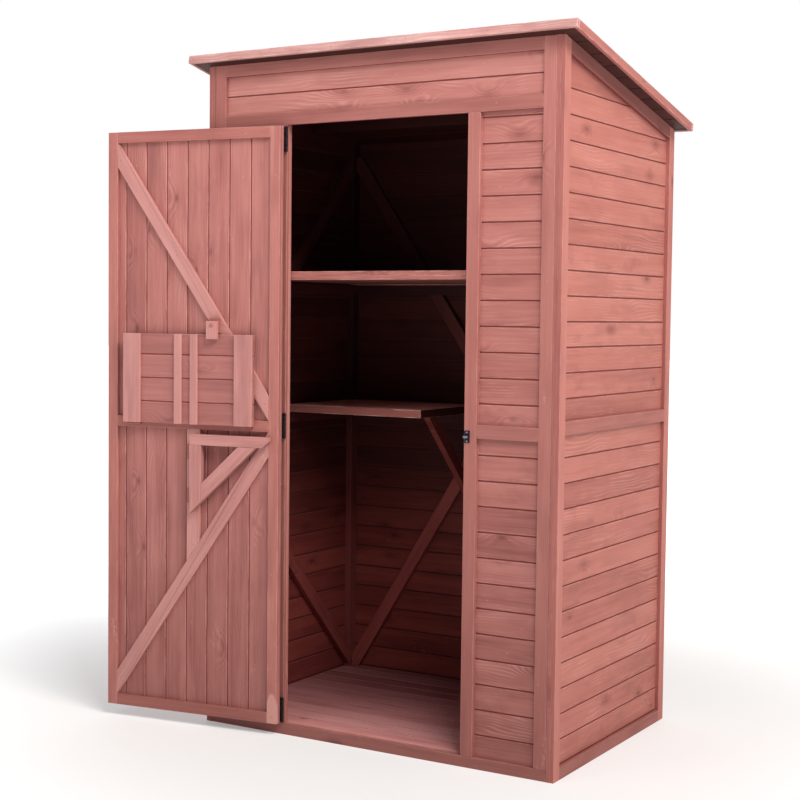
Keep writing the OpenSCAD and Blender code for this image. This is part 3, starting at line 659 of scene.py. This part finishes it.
# Floor: pale tones as painted light, with painted shade towards the back and the left
floor_wood = wood("floor_stain_painted_light_and_shade", tones((250, 186, 182), (242, 166, 162), (206, 126, 122)),
    wear_and_highlight=0.05, scuffs=0.25, smears=0.9, painted_shades=(FLOOR_BACK_PAINTED_SHADE, FLOOR_LEFT_PAINTED_SHADE))
shelf_wood = wood("shelf_stain", tones((204, 134, 124), (180, 110, 101), (142, 78, 72)), wear_and_highlight=0.6)
# Lower shelf: a light front with a pale top arris, and a paler top, all painted light
lit_shelf = wood("lower_shelf_stain_painted_light",
    tones((204, 130, 120), (186, 109, 100), (152, 80, 73), rubbed_and_highlit=(246, 196, 184)))
shelf_top = wood("lower_shelf_top_painted_light",
    tones((255, 204, 192), (250, 188, 178), (214, 140, 130), rubbed_and_highlit=(255, 220, 210)), wear_and_highlight=0.6)

# Painted shade in the joints between boards, on the tongues and the boards' sides, and under the rails
painted_joint_shade = flat_paint("joint_shadow", linear(122, 52, 48))
floor_tongue = flat_paint("floor_joint_shadow", linear(164, 96, 90))
dark_tongue = flat_paint("inner_joint_shadow", linear(58, 22, 20))

black = iron("black_iron", linear(26, 26, 34), 0.42, 0.75)
bright = iron("bright_steel", linear(130, 131, 150), 0.36, 0.9)
stained_iron = iron("stained_iron", linear(160, 98, 91), 0.6, 0.1)
nail_steel = iron("nail_steel", linear(150, 98, 92), 0.6, 0.2)
clout_steel = iron("clout_steel", linear(150, 152, 156), 0.45, 0.8)
felt_mat = mineral_felt("mineral_felt")

# ---------------------------------------------------------------- the shed


def board_slots(inward):
    """Slots for a wall's boards: 2 on the sides of joints, in painted joint shade, 1 on the inside, in
    painted shade, 0 outside.
    """
    return lambda normal: 2 if abs(normal.z) > 0.9 else 1 if normal.dot(inward) > 0.5 else 0


def joint_slots(inward):
    """Slots for the tongues in the joints, both in painted shade: 3 on the inside, 2 outside."""
    return lambda normal: 3 if normal.dot(inward) > 0.5 else 2


def end_board_slots(inward):
    """Slots for a side wall's end boards: 4 on the face that looks forward, 1 on the inside, 0 outside."""
    return lambda normal: 4 if normal.y < -0.5 else 1 if normal.dot(inward) > 0.5 else 0


def front_wall():
    """Boards between upright end boards, with the long boards over the doorway across all three panels."""
    lo, hi = node_box("front_left_boards")
    header = node_box("header_boards")[0].z
    lintel = header + STILE / 2
    made = Timber()
    for left, right in ((lo.x, hi.x), (-hi.x, -lo.x)):
        panel(made, Vector((left + STILE, lo.y, lo.z)), Vector((right - STILE, hi.y, lintel)), 2,
            joints_down(header - FIRST_JOINT, WALL_COVER, lo.z), SHED, (X, Z, Y), slot_of=board_slots(Y),
            tongues=joint_slots(Y), tone=FRONT_TONES)
        for x in (left, right - STILE):
            made.board(Vector((x, lo.y, lo.z)), Vector((x + STILE, hi.y, lintel)), SHED, (Z, X, Y),
                ease=STRIP_EDGE, slot_of=board_slots(Y))
    # The header boards take lighter tones: painted light
    panel(made, Vector((lo.x, lo.y, lintel)), Vector((-lo.x, hi.y, hi.z)), 2, [header + HEADER_JOINT], SHED,
        (X, Z, Y), trims=UNDER_ROOF, slot_of=board_slots(Y), tongues=joint_slots(Y), tone=HEADER_LIT_TONES)
    made.build("front_boards", "shed", (outer, inner, painted_joint_shade, dark_tongue),
        ("front_left_boards", "front_right_boards", "header_boards"))


def wall_joints(top, foot):
    """Joints of a side or back wall, from the one under the roof down, and from the middle strip down."""
    return joints_down(top, SIDE_TOP_COVER, SPLIT) + joints_down(LOW_JOINT, SIDE_LOW_COVER, foot)


def side_wall(side, inward):
    """Boards between two upright end boards."""
    lo, hi = node_box(side + "_wall_boards")
    made = Timber()
    field_hi = hi - Y * STILE
    panel(made, lo + Y * STILE, field_hi, 2, wall_joints(SIDE_JOINT, lo.z), SHED, (Y, Z, X), trims=UNDER_ROOF,
        tongues=joint_slots(inward), slot_of=board_slots(inward))
    seam = X * SEAM * (inward.x < 0)
    for y in (lo.y, field_hi.y):
        made.board(Vector((lo.x, y, lo.z)) + seam, Vector((hi.x, y + STILE, hi.z)) + seam - X * SEAM, SHED,
            (Z, Y, X), ease=STRIP_EDGE / 2, trims=UNDER_ROOF, tone=END_TONES,
            slot_of=end_board_slots(inward))
    made.build(side + "_boards", "shed", (side_outer, inner, painted_joint_shade, dark_tongue, edge_strip),
        (side + "_wall_boards",))


def back_wall():
    lo, hi = node_box("back_wall_boards")
    made = Timber()
    panel(made, lo, hi, 2, wall_joints(BACK_JOINT, lo.z), SHED, (X, Z, Y), trims=UNDER_ROOF,
        tongues=joint_slots(-Y), slot_of=board_slots(-Y))
    made.build("back_boards", "shed", (outer, inner, painted_joint_shade, dark_tongue),
        ("back_wall_boards",))


def floor():
    lo, hi = node_box("floor_deck")
    made = Timber()
    panel(made, lo, hi, 1, joints_up(lo.y, FLOOR_COVER, hi.y), SHED, (X, Y, Z), tongues=lambda n: 1,
        slot_of=lambda n: int(abs(n.y) > 0.9))
    made.build("floor_planks", "shed", (floor_wood, floor_tongue), ("floor_deck",))
    dress("threshold", "shed", (trim,))
    dress("floor_bearers", "shed", (inner_strip,))


def roof():
    lo, hi = node_box("roof_deck", ROOF)
    made = Timber()
    panel(made, lo, hi, 1, joints_up(lo.y, DECK_COVER, hi.y), ROOF, (X, Y, Z), tongues=lambda n: 1)
    made.build("roof_planks", "shed", (soffit, dark_tongue), ("roof_deck",))
    dress("roof_fascias", "shed", (fascia_wood,), ROOF, ROOF_EDGE)
    dress("roof_bargeboards", "shed", (trim,), ROOF, ROOF_EDGE)
    dress("roof_purlins", "shed", (inner_strip,), ROOF)


def shelves():
    """The upper shelf's boards, the last one wider, on rails and a recessed panel, and the lower shelf."""
    lo, hi = node_box("top_shelf")
    made = Timber()
    middle = (lo.z + hi.z) / 2
    joints = joints_up(lo.y, SHELF_COVER, hi.y - SHELF_COVER)
    panel(made, Vector((lo.x, lo.y, middle)), hi, 1, joints, SHED, (X, Y, Z))
    for y in (lo.y, hi.y - STILE):
        made.board(Vector((lo.x, y, lo.z)), Vector((hi.x, y + STILE, middle)), SHED, (X, Y, Z))
    made.board(Vector((lo.x, lo.y + STILE, lo.z + SHELF_RECESS)), Vector((hi.x, hi.y - STILE, middle)), SHED,
        (X, Y, Z))
    made.build("top_shelf_boards", "shed", (shelf_wood,), ("top_shelf",))
    # Lower shelf: painted light on its front and top, painted shade on its right end
    dress("lower_shelf", "shed", (lit_shelf, inner_strip, shelf_top),
        slot_of=lambda n: 1 if n.x > 0.5 else 2 if n.z > 0.7 else 0)


def underside(normal):
    """The second slot, painted shade under the rails, for faces that look down, the first for the rest."""
    return int(normal.z < -0.7)


def front_edge(normal):
    """The second slot for faces that look forward, the first for the rest."""
    return int(normal.y < -0.5)


def shed_strips():
    dress("front_stiles", "shed", (strip,))
    dress("front_rails", "shed", (rail_strip_in_painted_shade, painted_joint_shade), slot_of=underside)
    for side, face in (("left", side_strip), ("right", side_strip), ("back", strip)):
        dress(side + "_wall_stiles", "shed", (face, edge_strip), slot_of=front_edge)
        dress(side + "_wall_rails", "shed", (side_rail, painted_joint_shade), slot_of=underside)
    for mat, nodes in ((post_strip, ("inner_stiles", "back_inner_rail")),
            (inner_strip, ("side_cleats", "back_cleat")),
            (brace_strip, ("wall_braces", "shelf_strut"))):
        for node in nodes:
            dress(node, "shed", (mat,))


# ---------------------------------------------------------------- the door


def door():
    lo, hi = node_box("door_boards", DOOR)
    made = Timber()
    joints = joints_up(lo.x + DOOR_JOINT, DOOR_COVER, hi.x)
    panel(made, lo, hi, 0, joints, DOOR, (Z, X, Y), tongues=lambda n: 1)
    made.build("door_planks", "door", (door_in, painted_joint_shade), ("door_boards",))
    made = Timber()
    for bm in solids("door_stiles", DOOR):
        hung = int(min(v.co.x for v in bm.verts) < 0)
        made.add(bm, DOOR, own_axes(bm), STRIP_EDGE, all_round=True, slot_of=lambda n, h=hung: h)
    made.build("door_stiles_wood", "door", (door_stile, bared_stile), ("door_stiles",))
    dress("door_rails", "door", (strip,), DOOR)
    dress("door_braces", "door", (brace_wood,), DOOR)
    dress("door_upright", "door", (brace_wood,), DOOR)
    dress("button_block", "door", (strip,), DOOR, ease=0)


def table():
    lo, hi = node_box("table_boards", DOOR)
    made = Timber()
    joints = joints_up(lo.z + TABLE_JOINT, TABLE_COVER, hi.z)
    panel(made, lo, hi, 2, joints, DOOR, (X, Z, Y), tongues=lambda n: 1)
    made.build("table_planks", "table", (table_in, painted_joint_shade), ("table_boards",))
    dress("table_battens", "table", (brace_wood,), DOOR)
    dress("turn_button", "button", (brace_wood,), DOOR, BUTTON_EDGE)


def bracket():
    """Three bars, parted where the arm lies on the others and where the diagonal meets the post."""
    whole = solids("table_bracket", DOOR)[0]
    under = max(f.calc_center_median().z for f in whole.faces if f.normal.z < -0.99)
    post = max(f.calc_center_median().x for f in whole.faces if f.normal.x < -0.99)
    made = Timber()
    for cuts in (((under, -Z),), ((under, Z), (post, -X)), ((under, Z), (post, X))):
        bar = whole.copy()
        for place, out in cuts:
            edges = slice_off(bar, Vector((place, 0, place)) - out * HAIRLINE, out)
            bmesh.ops.holes_fill(bar, edges=edges)
        bmesh.ops.dissolve_limit(bar, angle_limit=0.01, verts=bar.verts, edges=bar.edges)
        made.add(bar, DOOR, own_axes(bar), STRIP_EDGE, all_round=True)
    whole.free()
    made.build("bracket_bars", "bracket", (brace_wood,), ("table_bracket",))


# ---------------------------------------------------------------- ironwork, felt and fixings


def plain_finish():
    """One material each for the felt and for the hinges and the hasp, which keep the CAD shapes."""
    for mat, nodes in ((black, ("jamb_hinge_leaves", "door_hinge_leaves", "door_hasp")),
            (stained_iron, ("table_hinge_plates", "bracket_hinge_plates", "table_hinge_leaves",
                "bracket_hinge_leaves")),
            (felt_mat, ("roof_felt",))):
        for node in nodes:
            data = frame["nodes"][node].data
            data.materials.clear()
            data.materials.append(mat)


def dome(bm, at, out, radius, rise, sides):
    """A low nail or screw head on the surface at a point."""
    u = out.orthogonal().normalized()
    v = out.cross(u)
    rings = []
    for r, h in ((radius, -rise), (radius, rise * 0.4), (radius * 0.6, rise)):
        rings.append([bm.verts.new(at + out * h + (u * math.cos(a) + v * math.sin(a)) * r)
            for a in (math.tau * i / sides for i in range(sides))])
    for low, high in zip(rings, rings[1:]):
        for i in range(sides):
            bm.faces.new((low[i - 1], low[i], high[i], high[i - 1]))
    bm.faces.new(rings[-1])
    bm.faces.new(rings[0][::-1])


def finish_mesh(bm, name, body, mats):
    """Ironwork drawn in bm, as an object on its body."""
    mesh = bpy.data.meshes.new(name)
    bmesh.ops.recalc_face_normals(bm, faces=bm.faces)
    bm.to_mesh(mesh)
    bm.free()
    for mat in mats:
        mesh.materials.append(mat)
    return placed(name, mesh, body)


def nails(name, body, nodes, outward, turn=Matrix(), gap=0.3, inset=0.018):
    """Nail heads along each strip, on the face that looks outward."""
    bm = bmesh.new()
    for node in nodes:
        for piece in solids(node, turn):
            along, across, face = own_axes(piece)
            if face.dot(outward) < 0:
                face = -face
            if face.dot(outward) > 0.5:
                lo, hi = bounds_along(piece.verts, (along, across, face))
                length = hi.x - lo.x - 2 * inset
                steps = max(1, math.ceil(length / gap))
                for i in range(steps + 1):
                    l = lo.x + inset + length * i / steps + rng.uniform(-NAIL_STRAY, NAIL_STRAY)
                    w = lo.y + (hi.y - lo.y) * rng.uniform(*NAIL_SPAN)
                    at = along * l + across * w + face * hi.z
                    dome(bm, turn @ at, (turn.to_3x3() @ face).normalized(), *NAIL_HEAD)
            piece.free()
    finish_mesh(bm, name, body, (nail_steel,))


def screws(name, body, node, turn=Matrix()):
    """Three screw heads on each hinge leaf, on the side that looks out of the closed doorway."""
    bm = bmesh.new()
    for piece in solids(node, turn):
        lo, hi = bounds_along(piece.verts, (X, Y, Z))
        leaf = max((f for f in piece.faces if f.normal.y < -0.99), key=lambda f: f.calc_area(), default=None)
        if leaf:
            for share in (-1 / 3, 0, 1 / 3):
                at = leaf.calc_center_median() + Z * (hi.z - lo.z) * share
                dome(bm, turn @ at, (turn.to_3x3() @ -Y).normalized(), *SCREW_HEAD)
        piece.free()
    finish_mesh(bm, name, body, (bright,))


def keeper():
    """The staple plate with eased edges, a bright staple and its two screws."""
    whole = bmesh.new()
    lo, hi = node_box("latch_keeper")
    for piece in solids("latch_keeper"):
        edges = [e for e in piece.edges if e.is_manifold and e.calc_face_angle() > 0.8]
        bmesh.ops.bevel(piece, geom=edges, offset=PLATE_EDGE, segments=2, profile=0.5, affect="EDGES")
        copies = {v: whole.verts.new(v.co) for v in piece.verts}
        for f in piece.faces:
            made = whole.faces.new([copies[v] for v in f.verts])
            made.material_index = int(f.calc_center_median().y < hi.y - PLATE_DEPTH)
        piece.free()
    mid = (lo + hi) / 2
    first = len(whole.faces)
    for share in (-PLATE_SCREW_PLACE, PLATE_SCREW_PLACE):
        at = Vector((mid.x, hi.y - PLATE_T, mid.z + (hi.z - lo.z) * share))
        dome(whole, at, -Y, *PLATE_SCREW)
    whole.faces.ensure_lookup_table()
    for f in whole.faces[first:]:
        f.material_index = 1
    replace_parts(finish_mesh(whole, "keeper_plate", "shed", (black, bright)), "latch_keeper")


def pin_caps():
    """Rounded ends on the pins of the door hinges."""
    bm = bmesh.new()
    pin = joint("door_hinge")["pos_m"]
    for piece in solids("jamb_hinge_leaves"):
        for out, z in ((Z, max(v.co.z for v in piece.verts)), (-Z, min(v.co.z for v in piece.verts))):
            dome(bm, Vector((pin[0], pin[1], z)), out, *PIN_END)
        piece.free()
    finish_mesh(bm, "hinge_pin_caps", "shed", (black,))


def felt_nails():
    """Flat clout nails round the roof felt, a little in from its edges."""
    lo, hi = node_box("roof_felt", ROOF)
    bm = bmesh.new()
    in_lo, in_hi = lo + (X + Y) * CLOUT_INSET, hi - (X + Y) * CLOUT_INSET
    runs = [((x, in_lo.y), (x, in_hi.y)) for x in (in_lo.x, in_hi.x)]
    runs += [((in_lo.x, y), (in_hi.x, y)) for y in (in_lo.y, in_hi.y)]
    for a, b in runs:
        a, b = Vector(a), Vector(b)
        count = round((b - a).length / CLOUT_STEP)
        for i in range(count):
            at = a + (b - a) * (i + 0.5) / count
            dome(bm, ROOF @ Vector((at.x, at.y, hi.z)), ROOF.to_3x3() @ Z, *CLOUT_HEAD)
    finish_mesh(bm, "felt_nails", "shed", (clout_steel,))


def fixings():
    felt_nails()
    nails("front_nails", "shed", ("front_stiles", "front_rails"), -Y)
    for side, outward in (("left", -X), ("right", X), ("back", Y)):
        nails(side + "_nails", "shed", (side + "_wall_stiles", side + "_wall_rails"), outward)
    nails("fascia_nails_front", "shed", ("roof_fascias",), -Y, ROOF, gap=0.25)
    nails("door_nails", "door", ("door_stiles", "door_rails"), Y, DOOR)
    nails("brace_nails", "door", ("door_braces", "door_upright"), Y, DOOR, gap=0.22, inset=0.05)
    screws("jamb_hinge_screws", "shed", "jamb_hinge_leaves")
    screws("door_hinge_screws", "door", "door_hinge_leaves", DOOR)


# ---------------------------------------------------------------- stage, light and camera


def stage():
    """A pale floor that glows softly towards the horizon, so that it runs into the backdrop."""
    mesh = bpy.data.meshes.new("studio_floor")
    corners = [(-GROUND, -GROUND, 0), (GROUND, -GROUND, 0), (GROUND, GROUND, 0), (-GROUND, GROUND, 0)]
    mesh.from_pydata(corners, [], [(0, 1, 2, 3)])
    ground = bpy.data.objects.new("studio_floor", mesh)
    bpy.context.scene.collection.objects.link(ground)
    g = Graph("pale_floor")
    g.shader.inputs["Base Color"].default_value = (GROUND_GREY, GROUND_GREY, GROUND_GREY, 1)
    g.shader.inputs["Roughness"].default_value = 0.9
    g.shader.inputs["Emission Color"].default_value = (1, 1, 1, 1)
    far = g.node("ShaderNodeVectorMath", operation="LENGTH")
    g.put(far.inputs[0], g.position())
    g.put(g.shader.inputs["Emission Strength"], g.ease(far.outputs["Value"], *GLOW))
    mesh.materials.append(g.mat)


def lamp(name, kind, energy, facing, place=(0, 0, 0), **more):
    """A light at a place, which shines along a direction."""
    data = bpy.data.lights.new(name, kind)
    data.energy = energy
    for key, value in more.items():
        setattr(data, key, value)
    made = bpy.data.objects.new(name, data)
    made.location = place
    made.rotation_mode = "QUATERNION"
    made.rotation_quaternion = facing.to_track_quat("-Z", "Y")
    bpy.context.scene.collection.objects.link(made)


def area_light(name, place, aim, size, power):
    lamp(name, "AREA", power, Vector(aim) - Vector(place), place, shape="SQUARE", size=size)


def surround():
    """A dim surround with a brighter side behind the object, plain white where the camera sees it."""
    world = bpy.data.worlds.new("studio")
    world.use_nodes = True
    nodes, links = world.node_tree.nodes, world.node_tree.links
    dot = nodes.new("ShaderNodeVectorMath")
    dot.operation = "DOT_PRODUCT"
    dot.inputs[1].default_value = BRIGHT_WAY
    links.new(nodes.new("ShaderNodeTexCoord").outputs["Generated"], dot.inputs[0])
    ramp = nodes.new("ShaderNodeMapRange")
    ramp.interpolation_type = "SMOOTHSTEP"
    for socket, v in zip(ramp.inputs[1:], (*BRIGHT_SPAN, SURROUND, 1.0)):
        socket.default_value = v
    links.new(dot.outputs["Value"], ramp.inputs[0])
    strength = nodes.new("ShaderNodeMath")
    strength.operation = "MAXIMUM"
    links.new(ramp.outputs[0], strength.inputs[0])
    links.new(nodes.new("ShaderNodeLightPath").outputs["Is Camera Ray"], strength.inputs[1])
    links.new(strength.outputs[0], nodes["Background"].inputs[1])
    nodes["Background"].inputs[0].default_value = (1, 1, 1, 1)
    bpy.context.scene.world = world


def lights():
    """A soft key high in front, a weak fill, a warm sun from the right, and the surround."""
    surround()
    bpy.context.scene.view_settings.view_transform = "Standard"
    area_light("key", *KEY_LAMP)
    area_light("fill", *FILL_LAMP)
    lamp("sun", "SUN", SUN, Vector(SUN_WAY), angle=math.radians(SUN_SPREAD), color=WARM)


def camera():
    data = bpy.data.cameras.new("camera")
    data.sensor_width, data.lens = SENSOR, LENS
    data.shift_x, data.shift_y = SHIFT
    cam = bpy.data.objects.new("camera", data)
    yaw, pitch, roll = (math.radians(a) for a in CAMERA_TURN)
    ahead = Vector((math.sin(yaw) * math.cos(pitch), math.cos(yaw) * math.cos(pitch), math.sin(pitch)))
    right = Vector((math.cos(yaw), -math.sin(yaw), 0))
    up = right.cross(ahead)
    side = right * math.cos(roll) + up * math.sin(roll)
    top = up * math.cos(roll) - right * math.sin(roll)
    turn = Matrix((side, top, -ahead)).transposed()
    cam.matrix_world = Matrix.Translation(CAMERA_PLACE) @ turn.to_4x4()
    bpy.context.scene.collection.objects.link(cam)
    bpy.context.scene.camera = cam


front_wall()
side_wall("left", X)
side_wall("right", -X)
back_wall()
floor()
roof()
shelves()
shed_strips()
door()
table()
bracket()
plain_finish()
keeper()
pin_caps()
fixings()
stage()
lights()
camera()
